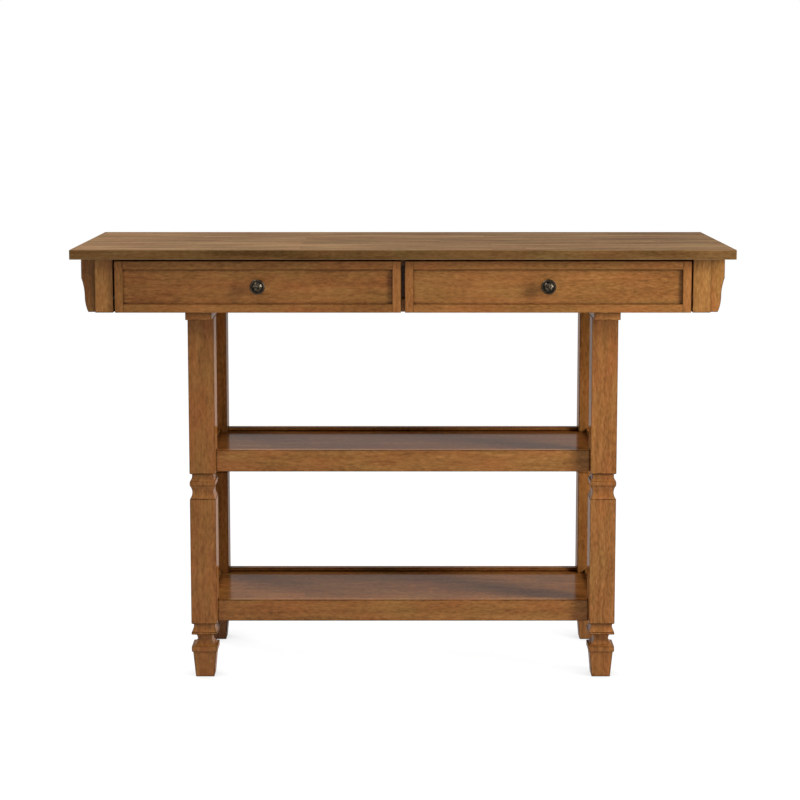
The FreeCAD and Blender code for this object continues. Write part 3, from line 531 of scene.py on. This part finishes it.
def ease_edges(piece, width, marked_edges, plain_normals):
    """Rounds a piece's edges a little, puts its last material on them and shades its flats flat. Small parts
    are eased on all sharp edges, and wood on the marked ones."""
    small = width == SMALL_PART_ROUND
    weld = piece.modifiers.new("weld", "WELD")
    weld.merge_threshold = WELD_REACH
    if not small:
        piece.modifiers.new("marked_edges", "NODES").node_group = marked_edges
    bevel = piece.modifiers.new("eased_edges", "BEVEL")
    bevel.width = width
    bevel.segments = EDGE_SEGMENTS
    bevel.limit_method = "ANGLE" if small else "WEIGHT"
    bevel.angle_limit = math.radians(EDGE_ANGLE)
    bevel.use_clamp_overlap = small
    bevel.material = len(piece.data.materials) - 1
    piece.modifiers.new("plain_normals", "NODES").node_group = plain_normals
    piece.modifiers.new("weighted_normals", "WEIGHTED_NORMAL").keep_sharp = True


def dress_nodes():
    """Gives every piece its finish, its own place in the grain and its eased edges."""
    finishes = make_finishes()
    marked_edges, plain_normals = marked_edges_group(), plain_normals_group()
    chance = random.Random(GRAIN_SEED)
    for name, piece in sorted(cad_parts.items()):
        piece["grain_seed"] = [chance.uniform(*span) for span in GRAIN_SPANS]
        # Each piece's tone, partly painted shade on the shelves, rear legs, rear rails and centre divider
        piece["piece_tone_and_shade"] = [*TONE_AND_PAINTED_SHADE.get(name, (0.0, 0.0)), 0.0]
        piece.data.materials.clear()
        finish = finishes[finish_of(name)]
        for material in finish:
            piece.data.materials.append(material)
        width = DRAWER_EDGE_ROUND if "_drawer_" in name else EDGE_ROUND
        ease_edges(piece, width if len(finish) == 2 else SMALL_PART_ROUND, marked_edges, plain_normals)


# Stage, light and camera

FLOOR_REACH = 40.0
FLOOR_WHITE = (0.82, 0.82, 0.82, 1.0)
FLOOR_GREY = 0.12
FLOOR_SHADE = 0.60
FLOOR_SHADE_REACH = 0.10
FLOOR_SHADE_SAMPLES = 8
AMBIENT = 0.15
AIM = (0.0, 0.0, 0.55)
LAMP_DISTANCE = 2.8

# Soft boxes: degrees to the right of the front, degrees above the floor, watts, width, height
LAMPS = {
    "key_light": (62.0, 21.0, 86.0, 0.6, 1.5),
    "upper_left_light": (-60.0, 58.0, 38.0, 0.9, 0.9),
    "front_light": (0.0, 48.0, 10.0, 0.6, 0.6),
    "back_light": (-125.0, 22.0, 34.0, 0.8, 0.8),
}

# Camera: its place, degrees that it looks down, and millimetres of the lens and of the sensor
CAMERA_SPOT = (0.0, -4.0753, 1.2477)
CAMERA_TILT = 6.593
CAMERA_LENS = 85.71
CAMERA_SENSOR = 36.0
CAMERA_SHIFT = (-0.0037, -0.12)


def seen_ray(graph):
    """1 for rays that the camera, a gloss or a glass sends."""
    path = graph.add("LightPath").outputs
    gloss = graph.math("MAXIMUM", path["Is Glossy Ray"], path["Is Transmission Ray"])
    return graph.math("MAXIMUM", path["Is Camera Ray"], gloss)


def make_floor():
    """A white floor that keeps a soft shadow."""
    mesh = bpy.data.meshes.new("floor")
    corners = [(x * FLOOR_REACH, y * FLOOR_REACH, 0.0) for x, y in ((-1, -1), (1, -1), (1, 1), (-1, 1))]
    mesh.from_pydata(corners, [], [(0, 1, 2, 3)])
    floor = bpy.data.objects.new("floor", mesh)
    bpy.context.scene.collection.objects.link(floor)
    material, graph = new_material("white_floor")
    matt = graph.add("BsdfDiffuse", {"Color": FLOOR_WHITE})
    faint = graph.add("BsdfDiffuse", {"Color": (FLOOR_GREY, FLOOR_GREY, FLOOR_GREY, 1.0)})
    # Occlusion dims the floor's glow near the feet: a painted contact shadow
    near = graph.add("AmbientOcclusion", {"Distance": FLOOR_SHADE_REACH}, samples=FLOOR_SHADE_SAMPLES)
    strength = graph.span(near.outputs["AO"], 0.0, 1.0, FLOOR_SHADE, 1.0 - FLOOR_GREY * AMBIENT)
    glow = graph.add("Emission", {"Color": WHITE, "Strength": strength})
    white = graph.add("AddShader", {0: faint.outputs[0], 1: glow.outputs[0]})
    graph.surface(graph.add("MixShader", {0: seen_ray(graph), 1: matt.outputs[0], 2: white.outputs[0]}))
    mesh.materials.append(material)


def make_world():
    """An even pale light, seen as white."""
    world = bpy.data.worlds.new("studio")
    world.use_nodes = True
    graph = Graph(world.node_tree)
    strength = graph.span(seen_ray(graph), 0.0, 1.0, AMBIENT, 1.0)
    light = graph.add("Background", {"Color": WHITE, "Strength": strength})
    graph.tree.links.new(light.outputs[0], graph.add("OutputWorld").inputs["Surface"])
    bpy.context.scene.world = world


def make_lamp(name, azimuth, elevation, power, width, height):
    """A soft box that points at the island and isn't seen itself."""
    lamp = bpy.data.lights.new(name, "AREA")
    lamp.energy = power
    lamp.shape = "RECTANGLE"
    lamp.size, lamp.size_y = width, height
    holder = bpy.data.objects.new(name, lamp)
    bpy.context.scene.collection.objects.link(holder)
    turn, rise = math.radians(azimuth), math.radians(elevation)
    away = Vector((math.sin(turn) * math.cos(rise), -math.cos(turn) * math.cos(rise), math.sin(rise)))
    holder.location = Vector(AIM) + away * LAMP_DISTANCE
    holder.rotation_euler = (-away).to_track_quat("-Z", "Y").to_euler()
    holder.visible_camera = False


def make_camera():
    """The photograph's view from the front, a little from above."""
    lens = bpy.data.cameras.new("camera")
    lens.sensor_width = CAMERA_SENSOR
    lens.lens = CAMERA_LENS
    lens.shift_x, lens.shift_y = CAMERA_SHIFT
    camera = bpy.data.objects.new("camera", lens)
    bpy.context.scene.collection.objects.link(camera)
    camera.location = CAMERA_SPOT
    camera.rotation_euler = (math.radians(90.0 - CAMERA_TILT), 0.0, 0.0)
    bpy.context.scene.camera = camera


dress_nodes()
make_floor()
make_world()
for lamp_name, lamp_setting in LAMPS.items():
    make_lamp(lamp_name, *lamp_setting)
make_camera()
bpy.context.scene.view_settings.view_transform = "Standard"
